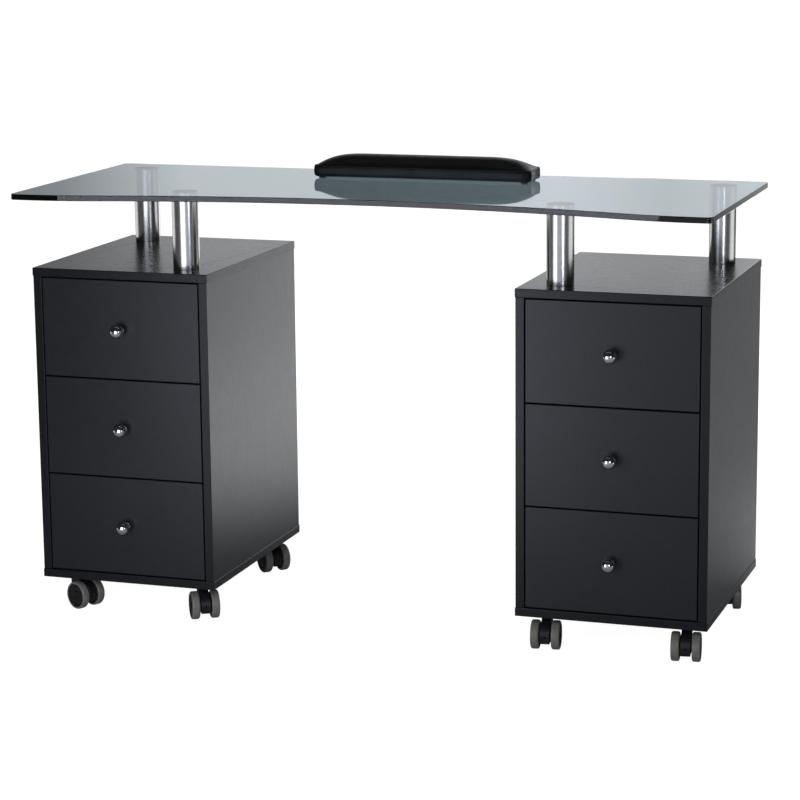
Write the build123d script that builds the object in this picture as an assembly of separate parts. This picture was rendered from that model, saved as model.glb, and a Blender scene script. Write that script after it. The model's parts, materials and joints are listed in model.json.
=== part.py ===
"""Manicure table: a glass worktop on steel posts over two wheeled drawer cabinets.

Millimetres, +Z up. The origin is on the floor, under the middle of the worktop.
+X runs along the table, -Y is the side where the drawers open.
"""
import math
import os

from build123d import *

# Worktop
GLASS_LENGTH = 1228.0
GLASS_DEPTH = 484.0
GLASS_THICKNESS = 10.0
GLASS_CORNER_RADIUS = 10.0
GLASS_EDGE_BEVEL = 0.8
SWEEP_DEPTH = 73.0  # how far the front edge is cut back in the middle
SWEEP_HALF_WIDTH = 520.0  # from the middle to where the curve would meet the straight edge
SWEEP_BLEND_RADIUS = 500.0

# Cabinets
CABINET_WIDTH = 330.0
CABINET_DEPTH = 426.0
CABINET_HEIGHT = 560.0
CABINET_BACK_INSET = 1.0  # from the worktop's back edge
OUTER_SPREAD = 1208.0  # over both cabinets
BOARD = 15.0
BOARD_PROUD = 1.0  # the top and bottom boards stand out this far all round
BACK_BOARD = 8.0

# Posts between a cabinet and the worktop
POST_DIAMETER = 47.0
POST_WALL = 1.5
POST_HEIGHT = 126.0
POST_PAD = 5.0  # closing disc at each end of a post
INNER_POST_INSET = 62.0  # from the cabinet's inner side to the post's axis
OUTER_POST_INSET = 59.0
FRONT_POST_INSET = 61.0
BACK_POST_INSET = 58.0
BOLT_DIAMETER = 8.0
BOLT_HOLE_CLEARANCE = 0.5
BOLT_HEAD_DIAMETER = 14.0
BOLT_HEAD = 5.0

# Drawers
DRAWERS = 3
FRONT_GAP = 2.0
FRONT_BEVEL = 0.8
RUNNER_GAP = 12.5  # between a cabinet side and a drawer side
BOX_WALL = 12.0
BOX_BOTTOM = 5.0
BOX_HEIGHT = 122.0
BOX_DEPTH = 380.0
BOX_LIFT = 26.0  # from the front's lower edge to the box's lower edge
BOTTOM_LIFT = 6.0  # from the box's lower edge to its bottom board
DRAWER_TRAVEL = 280.0

# Roller runners
RAIL_LENGTH = 350.0
RAIL_SHEET = 1.5
RAIL_HEIGHT = 28.0
RAIL_FLANGE = 8.0
ROLLER_DIAMETER = 20.0
ROLLER_WIDTH = 7.0
ROLLER_AXLE = 4.0
ROLLER_PLAY = 0.6  # between a roller and what it runs beside
RAIL_SETBACK = 5.0  # from the back of a drawer front to a rail's end
RAIL_END_TO_ROLLER = 14.0
RUNNER_LIFT = 22.0  # from the box's lower edge to the runner's middle

# Knobs
KNOB_BALL = 24.0
KNOB_REACH = 15.5  # from the drawer front to the ball's centre
KNOB_NECK = 10.0
KNOB_ROSE = 15.0
KNOB_ROSE_DEPTH = 2.0
SCREW_DIAMETER = 4.0
SCREW_HOLE_CLEARANCE = 0.3
SCREW_HEAD_DIAMETER = 8.0
SCREW_HEAD = 2.4
SCREW_IN_KNOB = 9.0

# Twin wheel castors
CASTOR_HEIGHT = 62.0
CASTOR_SIDE_INSET = 44.0
CASTOR_END_INSET = 50.0
PLATE_SIZE = 38.0
PLATE = 2.0
PLATE_SCREW_SPACING = 28.0
PLATE_SCREW_HEAD = 6.0
SOCKET_DIAMETER = 22.0
SOCKET_HEIGHT = 6.0
PIN_DIAMETER = 10.0
PIN_CLEARANCE = 0.05
SWIVEL_GAP = 0.5
WHEEL_DIAMETER = 50.0
WHEEL_WIDTH = 16.5
WHEEL_SPACING = 34.5
WHEEL_BEVEL = 2.0
WHEEL_DISH_DIAMETER = 38.0
WHEEL_DISH_DEPTH = 1.2
HOOD_WIDTH = 17.0
HOOD_LOW = 13.0
HOOD_RADIUS = 23.0  # the hood's rounded end, about the axle
TRAIL = 20.0  # from the swivel axis to the axle
AXLE_DIAMETER = 6.0
AXLE_CLEARANCE = 0.05

# Which way each castor's axle points at rest, in degrees from +X
CASTOR_ANGLES = {
    "left_front_outer": 64.0,
    "left_front_inner": 32.0,
    "left_back_outer": 20.0,
    "left_back_inner": 46.0,
    "right_front_inner": 8.0,
    "right_front_outer": 8.0,
    "right_back_inner": -12.0,
    "right_back_outer": 15.0,
}

# Arm cushion
CUSHION_LENGTH = 408.0
CUSHION_DEPTH = 80.0
CUSHION_HEIGHT = 45.0
CUSHION_BACK_INSET = 62.0
CUSHION_SIDE_SHIFT = 18.0  # towards +X from the worktop's middle
CUSHION_FOOT = 3.0
CUSHION_FOOT_DIAMETER = 14.0
CUSHION_FOOT_INSET = 16.0
CUSHION_BASE = 6.0
CUSHION_BASE_INSET = 3.0
CUSHION_EDGE_HEIGHT = 22.0  # height of the side band, from the worktop
CUSHION_CORNER_RADIUS = 12.0

# Worked out
CABINET_BOTTOM = CASTOR_HEIGHT
CABINET_TOP = CABINET_BOTTOM + CABINET_HEIGHT
GLASS_BOTTOM = CABINET_TOP + POST_HEIGHT
GLASS_TOP = GLASS_BOTTOM + GLASS_THICKNESS
CABINET_BACK = GLASS_DEPTH / 2 - CABINET_BACK_INSET
CABINET_FRONT = CABINET_BACK - CABINET_DEPTH
CABINET_MIDDLE_X = OUTER_SPREAD / 2 - CABINET_WIDTH / 2
SIDE_FRONT = CABINET_FRONT + BOARD_PROUD
SIDE_BACK = CABINET_BACK - BOARD_PROUD
INNER_BOTTOM = CABINET_BOTTOM + BOARD
INNER_TOP = CABINET_TOP - BOARD
HALF_OPENING = CABINET_WIDTH / 2 - BOARD_PROUD - BOARD
FRONT_WIDTH = 2 * (HALF_OPENING - FRONT_GAP)
FRONT_HEIGHT = (INNER_TOP - INNER_BOTTOM - (DRAWERS + 1) * FRONT_GAP) / DRAWERS
FRONT_BACK_FACE = SIDE_FRONT + BOARD
BOX_WIDTH = 2 * (HALF_OPENING - RUNNER_GAP)
SIDES = {"left": -1, "right": 1}


def block(x0, x1, y0, y1, z0, z1):
    """A box between two corners."""
    size = Box(x1 - x0, y1 - y0, z1 - z0)
    return Pos((x0 + x1) / 2, (y0 + y1) / 2, (z0 + z1) / 2) * size


def rod_x(x0, x1, y, z, diameter):
    """A round bar along X."""
    bar = Cylinder(diameter / 2, abs(x1 - x0))
    return Pos((x0 + x1) / 2, y, z) * Rot(0, 90, 0) * bar


def rod_y(x, y0, y1, z, diameter):
    """A round bar along Y."""
    bar = Cylinder(diameter / 2, abs(y1 - y0))
    return Pos(x, (y0 + y1) / 2, z) * Rot(90, 0, 0) * bar


def rod_z(x, y, z0, z1, diameter):
    """A round bar along Z."""
    bar = Cylinder(diameter / 2, z1 - z0)
    return Pos(x, y, (z0 + z1) / 2) * bar


def save(node, *solids):
    """Writes one sub-part, which may be several touching pieces."""
    group = Compound(label=node, children=list(solids))
    export_step(group, os.path.join("parts", node + ".step"))


def glass_top():
    """The worktop: a rounded rectangle whose front edge sweeps back in the middle."""
    half_length = GLASS_LENGTH / 2
    half_depth = GLASS_DEPTH / 2
    outline = Polyline(
        (-SWEEP_HALF_WIDTH, -half_depth),
        (-half_length, -half_depth),
        (-half_length, half_depth),
        (half_length, half_depth),
        (half_length, -half_depth),
        (SWEEP_HALF_WIDTH, -half_depth),
    )
    sweep = ThreePointArc(
        (SWEEP_HALF_WIDTH, -half_depth),
        (0, -half_depth + SWEEP_DEPTH),
        (-SWEEP_HALF_WIDTH, -half_depth),
    )
    face = make_face(outline.edges() + sweep.edges())
    ends = [v for v in face.vertices() if abs(v.X) > half_length - 1]
    face = fillet(ends, GLASS_CORNER_RADIUS)
    joins = [v for v in face.vertices() if abs(abs(v.X) - SWEEP_HALF_WIDTH) < 1]
    face = fillet(joins, SWEEP_BLEND_RADIUS)
    plate = extrude(Pos(0, 0, GLASS_BOTTOM) * face, GLASS_THICKNESS)
    rims = plate.faces().sort_by(Axis.Z)[0].edges() + plate.faces().sort_by(Axis.Z)[-1].edges()
    save("glass_top", chamfer(rims, GLASS_EDGE_BEVEL))


def post_places(side):
    """The axes of a cabinet's two posts: inner front and outer back."""
    sign = SIDES[side]
    inner_x = sign * (OUTER_SPREAD / 2 - CABINET_WIDTH + INNER_POST_INSET)
    outer_x = sign * (OUTER_SPREAD / 2 - OUTER_POST_INSET)
    return (
        (inner_x, CABINET_FRONT + FRONT_POST_INSET),
        (outer_x, CABINET_BACK - BACK_POST_INSET),
    )


def posts(side):
    """Round tubes that carry the worktop."""
    tubes = []
    for x, y in post_places(side):
        outside = rod_z(x, y, CABINET_TOP, GLASS_BOTTOM, POST_DIAMETER)
        bore = rod_z(x, y, CABINET_TOP, GLASS_BOTTOM, POST_DIAMETER - 2 * POST_WALL)
        tubes.append(outside - bore)
    save(side + "_posts", *tubes)


def post_fixings():
    """Discs that close the posts, and the bolts that hold them to the cabinets."""
    inside = POST_DIAMETER - 2 * POST_WALL
    under_board = CABINET_TOP - BOARD
    pieces = []
    for side in SIDES:
        for x, y in post_places(side):
            pieces.append(rod_z(x, y, GLASS_BOTTOM - POST_PAD, GLASS_BOTTOM, inside))
            low_pad = rod_z(x, y, CABINET_TOP, CABINET_TOP + POST_PAD, inside)
            shank = rod_z(x, y, under_board, CABINET_TOP + POST_PAD, BOLT_DIAMETER)
            head = rod_z(x, y, under_board - BOLT_HEAD, under_board, BOLT_HEAD_DIAMETER)
            pieces.append(low_pad - shank)
            pieces.append(shank + head)
    save("post_fixings", *pieces)


def cabinet(side):
    """A cabinet's five boards."""
    middle = SIDES[side] * CABINET_MIDDLE_X
    half = CABINET_WIDTH / 2
    near, far = middle - half, middle + half
    top = block(near, far, CABINET_FRONT, CABINET_BACK, INNER_TOP, CABINET_TOP)
    for x, y in post_places(side):
        hole = BOLT_DIAMETER + 2 * BOLT_HOLE_CLEARANCE
        top -= rod_z(x, y, INNER_TOP, CABINET_TOP, hole)
    bottom = block(near, far, CABINET_FRONT, CABINET_BACK, CABINET_BOTTOM, INNER_BOTTOM)
    save(side + "_cabinet_top", top)
    save(side + "_cabinet_bottom", bottom)
    for place, sign in (("inner", -SIDES[side]), ("outer", SIDES[side])):
        faces = sorted(
            (
                middle + sign * HALF_OPENING,
                middle + sign * (HALF_OPENING + BOARD),
            )
        )
        board = block(*faces, SIDE_FRONT, SIDE_BACK, INNER_BOTTOM, INNER_TOP)
        save(side + "_cabinet_" + place + "_side", board)
    back = block(
        middle - HALF_OPENING,
        middle + HALF_OPENING,
        SIDE_BACK - BACK_BOARD,
        SIDE_BACK,
        INNER_BOTTOM,
        INNER_TOP,
    )
    save(side + "_cabinet_back", back)


def drawer_base(index):
    """Height of the lower edge of a drawer's front. Drawer 0 is the top one."""
    rows_below = DRAWERS - 1 - index
    return INNER_BOTTOM + FRONT_GAP + rows_below * (FRONT_HEIGHT + FRONT_GAP)


def runner_height(index):
    """Height of the middle of a drawer's runners."""
    return drawer_base(index) + BOX_LIFT + RUNNER_LIFT


def cabinet_runners(side):
    """Channels on the cabinet sides, each with a roller at its front end."""
    middle = SIDES[side] * CABINET_MIDDLE_X
    front = FRONT_BACK_FACE + RAIL_SETBACK
    back = front + RAIL_LENGTH
    pieces = []
    for index in range(DRAWERS):
        z = runner_height(index)
        low, high = z - RAIL_HEIGHT / 2, z + RAIL_HEIGHT / 2
        for sign in (-1, 1):
            wall = middle + sign * HALF_OPENING
            web = wall - sign * RAIL_SHEET
            lip = wall - sign * RAIL_FLANGE
            channel = block(*sorted((wall, web)), front, back, low, high)
            channel += block(*sorted((wall, lip)), front, back, low, low + RAIL_SHEET)
            channel += block(*sorted((wall, lip)), front, back, high - RAIL_SHEET, high)
            roller_face = web - sign * ROLLER_PLAY
            roller_end = roller_face - sign * ROLLER_WIDTH
            roller_y = front + RAIL_END_TO_ROLLER
            roller_z = z - ROLLER_PLAY
            roller = rod_x(roller_face, roller_end, roller_y, roller_z, ROLLER_DIAMETER)
            axle = rod_x(web, roller_end, roller_y, roller_z, ROLLER_AXLE)
            pieces.append(channel)
            pieces.append(roller - axle)
            pieces.append(axle)
    save(side + "_runner_channels", *pieces)


def drawer_runners(node, middle, index):
    """Flanged rails on a drawer's sides, each with a roller at its back end."""
    z = runner_height(index)
    front = FRONT_BACK_FACE + RAIL_SETBACK
    back = front + RAIL_LENGTH
    flange_low = z - ROLLER_PLAY + ROLLER_DIAMETER / 2 + ROLLER_PLAY / 2
    pieces = []
    for sign in (-1, 1):
        wall = middle + sign * BOX_WIDTH / 2
        web = wall + sign * RAIL_SHEET
        lip = middle + sign * (HALF_OPENING - RAIL_SHEET - ROLLER_PLAY)
        rail = block(*sorted((wall, web)), front, back, z - RAIL_HEIGHT / 2, flange_low)
        rail += block(*sorted((wall, lip)), front, back, flange_low, flange_low + RAIL_SHEET)
        roller_end = lip - sign * ROLLER_WIDTH
        roller_y = back - RAIL_END_TO_ROLLER
        roller_z = z - ROLLER_PLAY
        roller = rod_x(lip, roller_end, roller_y, roller_z, ROLLER_DIAMETER)
        axle = rod_x(lip, web, roller_y, roller_z, ROLLER_AXLE)
        pieces.append(rail)
        pieces.append(roller - axle)
        pieces.append(axle)
    save(node + "_rails", *pieces)


def drawer_box(node, middle, base, knob_z):
    """Four walls and a bottom board."""
    half = BOX_WIDTH / 2
    inside = half - BOX_WALL
    front, back = FRONT_BACK_FACE, FRONT_BACK_FACE + BOX_DEPTH
    low = base + BOX_LIFT
    high = low + BOX_HEIGHT
    floor_low = low + BOTTOM_LIFT
    inner_front = block(middle - inside, middle + inside, front, front + BOX_WALL, low, high)
    hole = SCREW_DIAMETER + 2 * SCREW_HOLE_CLEARANCE
    inner_front -= rod_y(middle, front, front + BOX_WALL, knob_z, hole)
    pieces = [
        inner_front,
        block(middle - inside, middle + inside, back - BOX_WALL, back, low, high),
        block(middle - half, middle - inside, front, back, low, high),
        block(middle + inside, middle + half, front, back, low, high),
        block(
            middle - inside,
            middle + inside,
            front + BOX_WALL,
            back - BOX_WALL,
            floor_low,
            floor_low + BOX_BOTTOM,
        ),
    ]
    save(node + "_box", *pieces)


def drawer_front(node, middle, base, knob_z):
    """The board that closes the cabinet, with softened edges and a hole for the knob's screw."""
    half = FRONT_WIDTH / 2
    board = block(middle - half, middle + half, SIDE_FRONT, FRONT_BACK_FACE, base, base + FRONT_HEIGHT)
    show_face = board.faces().sort_by(Axis.Y)[0]
    board = chamfer(show_face.edges(), FRONT_BEVEL)
    hole = SCREW_DIAMETER + 2 * SCREW_HOLE_CLEARANCE
    board -= rod_y(middle, SIDE_FRONT, FRONT_BACK_FACE, knob_z, hole)
    save(node + "_front", board)


def knob(node, x, z):
    """A ball on a short neck and a rose, and the screw that holds it from inside the drawer."""
    ball_y = SIDE_FRONT - KNOB_REACH
    body = Pos(x, ball_y, z) * Sphere(KNOB_BALL / 2)
    body += rod_y(x, ball_y, SIDE_FRONT, z, KNOB_NECK)
    body += rod_y(x, SIDE_FRONT - KNOB_ROSE_DEPTH, SIDE_FRONT, z, KNOB_ROSE)
    under_head = FRONT_BACK_FACE + BOX_WALL
    shank = rod_y(x, SIDE_FRONT - SCREW_IN_KNOB, under_head, z, SCREW_DIAMETER)
    head = rod_y(x, under_head, under_head + SCREW_HEAD, z, SCREW_HEAD_DIAMETER)
    save(node + "_knob", body - shank, shank + head)


def drawers(side):
    """The cabinet's drawers, from the top down."""
    middle = SIDES[side] * CABINET_MIDDLE_X
    for index in range(DRAWERS):
        node = side + "_drawer_" + str(index + 1)
        base = drawer_base(index)
        knob_z = base + FRONT_HEIGHT / 2
        drawer_front(node, middle, base, knob_z)
        drawer_box(node, middle, base, knob_z)
        drawer_runners(node, middle, index)
        knob(node, middle, knob_z)


def castor_place(name):
    """The swivel axis of a castor, from its name."""
    side, end, place = name.split("_")
    edge = {"outer": OUTER_SPREAD / 2, "inner": OUTER_SPREAD / 2 - CABINET_WIDTH}[place]
    inward = {"outer": -1, "inner": 1}[place]
    x = SIDES[side] * (edge + inward * CASTOR_SIDE_INSET)
    front, back = CABINET_FRONT + CASTOR_END_INSET, CABINET_BACK - CASTOR_END_INSET
    return x, {"front": front, "back": back}[end]


def castor_plates(side):
    """Screwed plates with a socket for each castor's pin."""
    plate_low = CASTOR_HEIGHT - PLATE
    socket_low = plate_low - SOCKET_HEIGHT
    pieces = []
    for name in CASTOR_ANGLES:
        if not name.startswith(side):
            continue
        x, y = castor_place(name)
        half = PLATE_SIZE / 2
        plate = block(x - half, x + half, y - half, y + half, plate_low, CASTOR_HEIGHT)
        plate += rod_z(x, y, socket_low, plate_low, SOCKET_DIAMETER)
        plate -= rod_z(x, y, socket_low, plate_low, PIN_DIAMETER + 2 * PIN_CLEARANCE)
        reach = PLATE_SCREW_SPACING / 2
        for dx in (-reach, reach):
            for dy in (-reach, reach):
                plate += Pos(x + dx, y + dy, plate_low) * Sphere(PLATE_SCREW_HEAD / 2)
        pieces.append(plate - block(x - half, x + half, y - half, y + half, CASTOR_HEIGHT, CASTOR_HEIGHT + PLATE))
    save(side + "_castor_plates", *pieces)


def castor_hood():
    """The swivelling body between the wheels, with the swivel axis at x = y = 0 and the axle along X."""
    axle_z = WHEEL_DIAMETER / 2
    hood_top = CASTOR_HEIGHT - PLATE - SOCKET_HEIGHT - SWIVEL_GAP
    column = SOCKET_DIAMETER / 2
    round_end = Pos(-TRAIL, axle_z) * Circle(HOOD_RADIUS)
    head = Polygon(
        (column, HOOD_LOW),
        (column, hood_top),
        (-column, hood_top),
        (-TRAIL, axle_z + HOOD_RADIUS),
        (-TRAIL, HOOD_LOW),
        align=None,
    )
    profile = round_end + head
    reach = TRAIL + HOOD_RADIUS + column
    profile -= Pos(-TRAIL, HOOD_LOW - reach / 2) * Rectangle(2 * reach, reach)
    hood = extrude(Plane.YZ * profile, HOOD_WIDTH / 2, both=True)
    hood -= rod_x(-HOOD_WIDTH, HOOD_WIDTH, -TRAIL, axle_z, AXLE_DIAMETER + 2 * AXLE_CLEARANCE)
    pin_top = CASTOR_HEIGHT - PLATE - SWIVEL_GAP
    return hood + rod_z(0, 0, hood_top, pin_top, PIN_DIAMETER)


def castor_wheels():
    """Two dished wheels on one axle, in the same place as the hood."""
    axle_z = WHEEL_DIAMETER / 2
    reach = WHEEL_SPACING / 2 + WHEEL_WIDTH / 2
    axle = rod_x(-reach + WHEEL_DISH_DEPTH, reach - WHEEL_DISH_DEPTH, -TRAIL, axle_z, AXLE_DIAMETER)
    pieces = [axle]
    for sign in (-1, 1):
        inner = sign * (WHEEL_SPACING / 2 - WHEEL_WIDTH / 2)
        outer = sign * reach
        wheel = rod_x(inner, outer, -TRAIL, axle_z, WHEEL_DIAMETER)
        rims = wheel.edges().filter_by(GeomType.CIRCLE)
        wheel = chamfer(rims, WHEEL_BEVEL)
        dish_face = outer - sign * WHEEL_DISH_DEPTH
        wheel -= rod_x(dish_face, outer, -TRAIL, axle_z, WHEEL_DISH_DIAMETER)
        pieces.append(wheel - axle)
    return pieces


def castors():
    """A hood and a pair of wheels at each corner of each cabinet."""
    for name, angle in CASTOR_ANGLES.items():
        x, y = castor_place(name)
        turned = Pos(x, y, 0) * Rot(0, 0, angle)
        save(name + "_castor_hood", turned * castor_hood())
        save(name + "_castor_wheels", *[turned * piece for piece in castor_wheels()])


def cushion():
    """An upholstered arm rest on a footed base board."""
    middle_x = CUSHION_SIDE_SHIFT
    left = middle_x - CUSHION_LENGTH / 2
    right = middle_x + CUSHION_LENGTH / 2
    back = GLASS_DEPTH / 2 - CUSHION_BACK_INSET
    front = back - CUSHION_DEPTH
    middle_y = (front + back) / 2
    base_low = GLASS_TOP + CUSHION_FOOT
    base_high = base_low + CUSHION_BASE
    inset = CUSHION_BASE_INSET
    pieces = [block(left + inset, right - inset, front + inset, back - inset, base_low, base_high)]
    for sx in (-1, 1):
        for sy in (-1, 1):
            foot_x = middle_x + sx * (CUSHION_LENGTH / 2 - CUSHION_FOOT_INSET)
            foot_y = middle_y + sy * (CUSHION_DEPTH / 2 - CUSHION_FOOT_INSET)
            pieces.append(rod_z(foot_x, foot_y, GLASS_TOP, base_low, CUSHION_FOOT_DIAMETER))
    save("cushion_base", *pieces)
    outline = RectangleRounded(CUSHION_LENGTH, CUSHION_DEPTH, CUSHION_CORNER_RADIUS)
    band_height = GLASS_TOP + CUSHION_EDGE_HEIGHT - base_high
    pad = extrude(Pos(middle_x, middle_y, base_high) * outline, band_height)
    crown = GLASS_TOP + CUSHION_HEIGHT
    lower = Pos(middle_x, middle_y, base_high + band_height) * outline
    crown_length = CUSHION_LENGTH - 2 * CUSHION_CORNER_RADIUS * math.sqrt(2)
    crown_depth = CUSHION_DEPTH - 2 * CUSHION_CORNER_RADIUS * math.sqrt(2)
    upper = Pos(middle_x, middle_y, crown) * RectangleRounded(crown_length, crown_depth, CUSHION_CORNER_RADIUS)
    save("cushion_pad", pad + loft([lower, upper]))


os.makedirs("parts", exist_ok=True)
glass_top()
post_fixings()
for cabinet_side in SIDES:
    posts(cabinet_side)
    cabinet(cabinet_side)
    cabinet_runners(cabinet_side)
    drawers(cabinet_side)
    castor_plates(cabinet_side)
castors()
cushion()
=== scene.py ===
"""Manicure table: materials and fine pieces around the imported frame, in metres."""
import json
import math

import bmesh
import bpy
from mathutils import Matrix, Vector

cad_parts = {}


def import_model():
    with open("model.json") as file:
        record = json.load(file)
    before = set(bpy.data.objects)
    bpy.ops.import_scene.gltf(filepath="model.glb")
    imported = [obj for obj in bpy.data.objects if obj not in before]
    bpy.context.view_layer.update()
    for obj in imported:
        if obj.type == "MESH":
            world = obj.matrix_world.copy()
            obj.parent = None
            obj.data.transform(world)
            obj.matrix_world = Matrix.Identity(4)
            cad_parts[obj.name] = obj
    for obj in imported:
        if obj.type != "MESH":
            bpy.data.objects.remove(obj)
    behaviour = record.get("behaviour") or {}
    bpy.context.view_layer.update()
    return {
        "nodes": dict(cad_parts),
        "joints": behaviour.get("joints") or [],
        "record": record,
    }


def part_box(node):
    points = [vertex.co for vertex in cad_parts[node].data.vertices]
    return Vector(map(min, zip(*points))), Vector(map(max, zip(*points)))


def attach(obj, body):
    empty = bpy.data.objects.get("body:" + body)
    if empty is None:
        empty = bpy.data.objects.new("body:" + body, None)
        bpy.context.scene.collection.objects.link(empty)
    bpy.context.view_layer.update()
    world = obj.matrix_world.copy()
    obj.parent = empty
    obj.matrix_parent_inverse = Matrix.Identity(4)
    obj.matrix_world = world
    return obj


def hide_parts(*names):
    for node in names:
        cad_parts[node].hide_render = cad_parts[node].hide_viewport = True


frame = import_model()
NODES = frame["nodes"]
BODIES = frame["record"]["behaviour"]["bodies"]
JOINTS = {joint["name"]: joint for joint in frame["joints"]}
BODY_OF = {node: body for body, members in BODIES.items() for node in members}
SIDES = ("left", "right")
UP = Vector((0, 0, 1))


# ---------------------------------------------------------------- materials

class Nodes:
    """A material's node tree, with short ways to add and join nodes."""

    def __init__(self, name):
        self.material = bpy.data.materials.new(name)
        self.material.use_nodes = True
        self.tree = self.material.node_tree
        self.shader = self.tree.nodes["Principled BSDF"]
        self.output = self.tree.nodes["Material Output"]
        self.place = self.add("ShaderNodeTexCoord").outputs["Object"]

    def add(self, kind, **settings):
        node = self.tree.nodes.new(kind)
        for key, value in settings.items():
            setattr(node, key, value)
        return node

    def join(self, source, target):
        self.tree.links.new(source, target)

    def surface(self, **sockets):
        """Sets plain values on the shader's own sockets. An underscore stands for a space."""
        for key, value in sockets.items():
            self.shader.inputs[key.replace("_", " ")].default_value = value

    def stretched(self, scale):
        """Object coordinates multiplied along each axis."""
        mapping = self.add("ShaderNodeMapping")
        mapping.inputs["Scale"].default_value = scale
        self.join(self.place, mapping.inputs["Vector"])
        return mapping.outputs["Vector"]

    def noise(self, scale, detail=4.0, rough=0.55, where=None):
        """Cloudy noise between 0 and 1."""
        node = self.add("ShaderNodeTexNoise")
        node.inputs["Scale"].default_value = scale
        node.inputs["Detail"].default_value = detail
        node.inputs["Roughness"].default_value = rough
        self.join(where or self.place, node.inputs["Vector"])
        return node.outputs["Fac"]

    def cells(self, scale, feature="F1", where=None):
        """Distance to the nearest of scattered points."""
        node = self.add("ShaderNodeTexVoronoi", feature=feature)
        node.inputs["Scale"].default_value = scale
        self.join(where or self.place, node.inputs["Vector"])
        return node.outputs["Distance"]

    def spread(self, value, low, high, start=0.3, end=0.7):
        """Maps a value from start..end to low..high."""
        node = self.add("ShaderNodeMapRange")
        for key, number in (("From Min", start), ("From Max", end), ("To Min", low), ("To Max", high)):
            node.inputs[key].default_value = number
        self.join(value, node.inputs["Value"])
        return node.outputs["Result"]

    def blend(self, factor, first, second):
        """A colour between two, by a factor."""
        node = self.add("ShaderNodeMix", data_type="RGBA")
        self.join(factor, node.inputs["Factor"])
        node.inputs["A"].default_value = (*first, 1)
        node.inputs["B"].default_value = (*second, 1)
        return node.outputs["Result"]

    def maths(self, operation, first, second):
        """Two values or sockets joined by an operation."""
        node = self.add("ShaderNodeMath", operation=operation)
        for socket, value in zip(node.inputs, (first, second)):
            if isinstance(value, (int, float)):
                socket.default_value = value
            else:
                self.join(value, socket)
        return node.outputs["Value"]

    def bump(self, height, strength, distance, under=None):
        """A normal tilted by a height, on top of another one if given."""
        node = self.add("ShaderNodeBump")
        node.inputs["Strength"].default_value = strength
        node.inputs["Distance"].default_value = distance
        self.join(height, node.inputs["Height"])
        if under is not None:
            self.join(under, node.inputs["Normal"])
        return node.outputs["Normal"]

    def feed(self, value, socket):
        """Joins a value to one of the shader's own sockets."""
        self.join(value, self.shader.inputs[socket])


def laminate(name, dark, light, rough, grain_axis, press=0.22):
    """Black melamine with a pressed grain and a mottled tone. press is how deep the grain is."""
    m = Nodes(name)
    m.surface(IOR=1.5)
    along = {"x": (60, 420, 420), "z": (420, 420, 60)}[grain_axis]
    fibre = m.noise(1.0, 6.0, 0.6, m.stretched(along))
    mottle = m.noise(240.0, 5.0, 0.65)
    cloud = m.noise(5.0, 2.0, 0.5)
    tone = m.maths("ADD", m.maths("MULTIPLY", mottle, 0.7), m.maths("MULTIPLY", cloud, 0.3))
    m.feed(m.blend(m.spread(tone, 0.0, 1.0, 0.35, 0.65), dark, light), "Base Color")
    m.feed(m.spread(fibre, rough - 0.04, rough + 0.05), "Roughness")
    m.feed(m.bump(fibre, press, 0.00025, m.bump(mottle, press * 0.7, 0.0002)), "Normal")
    return m.material


def edge_band():
    """The plain strip glued round the boards' edges: smoother than the faces."""
    m = Nodes("edge_band")
    m.surface(IOR=1.42)
    fine = m.noise(500.0, 3.0)
    m.feed(m.blend(m.spread(fine, 0.0, 1.0), (0.006, 0.0065, 0.009), (0.010, 0.011, 0.013)), "Base Color")
    m.feed(m.spread(m.noise(60.0), 0.30, 0.36), "Roughness")
    m.feed(m.bump(fine, 0.1, 0.0001), "Normal")
    return m.material


def brushed_steel():
    """Satin stainless tube, brushed round its girth, with long soft streaks."""
    m = Nodes("brushed_steel")
    m.surface(Metallic=1.0, Anisotropic=0.35)
    fine = m.noise(1.0, 5.0, 0.7, m.stretched((90, 90, 2600)))
    broad = m.noise(1.0, 3.0, 0.5, m.stretched((30, 30, 220)))
    tone = m.maths("ADD", m.maths("MULTIPLY", fine, 0.6), m.maths("MULTIPLY", broad, 0.4))
    m.feed(m.blend(m.spread(tone, 0.0, 1.0), (0.56, 0.55, 0.53), (0.72, 0.71, 0.69)), "Base Color")
    m.feed(m.spread(fine, 0.16, 0.26), "Roughness")
    m.feed(m.bump(fine, 0.12, 0.00006), "Normal")
    return m.material


def chrome():
    """Polished plating with faint smears."""
    m = Nodes("polished_chrome")
    m.surface(Metallic=1.0)
    smear = m.noise(90.0, 4.0)
    m.feed(m.blend(m.spread(smear, 0.0, 1.0), (0.76, 0.77, 0.78), (0.84, 0.84, 0.84)), "Base Color")
    m.feed(m.spread(smear, 0.03, 0.07), "Roughness")
    return m.material


def zinc():
    """Galvanised steel with small crystals."""
    m = Nodes("zinc_steel")
    m.surface(Metallic=1.0)
    flakes = m.cells(300.0)
    tone = m.spread(flakes, 0.0, 1.0, 0.0, 0.8)
    m.feed(m.blend(tone, (0.42, 0.43, 0.45), (0.60, 0.61, 0.62)), "Base Color")
    m.feed(m.spread(m.noise(120.0), 0.28, 0.42), "Roughness")
    return m.material


def runner_paint():
    """Grey powder coat with a fine orange peel."""
    m = Nodes("runner_powder_coat")
    peel = m.noise(900.0, 2.0)
    m.feed(m.blend(m.spread(peel, 0.0, 1.0), (0.05, 0.05, 0.053), (0.08, 0.08, 0.084)), "Base Color")
    m.feed(m.spread(m.noise(140.0), 0.38, 0.5), "Roughness")
    m.feed(m.bump(peel, 0.3, 0.0001), "Normal")
    return m.material


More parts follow.
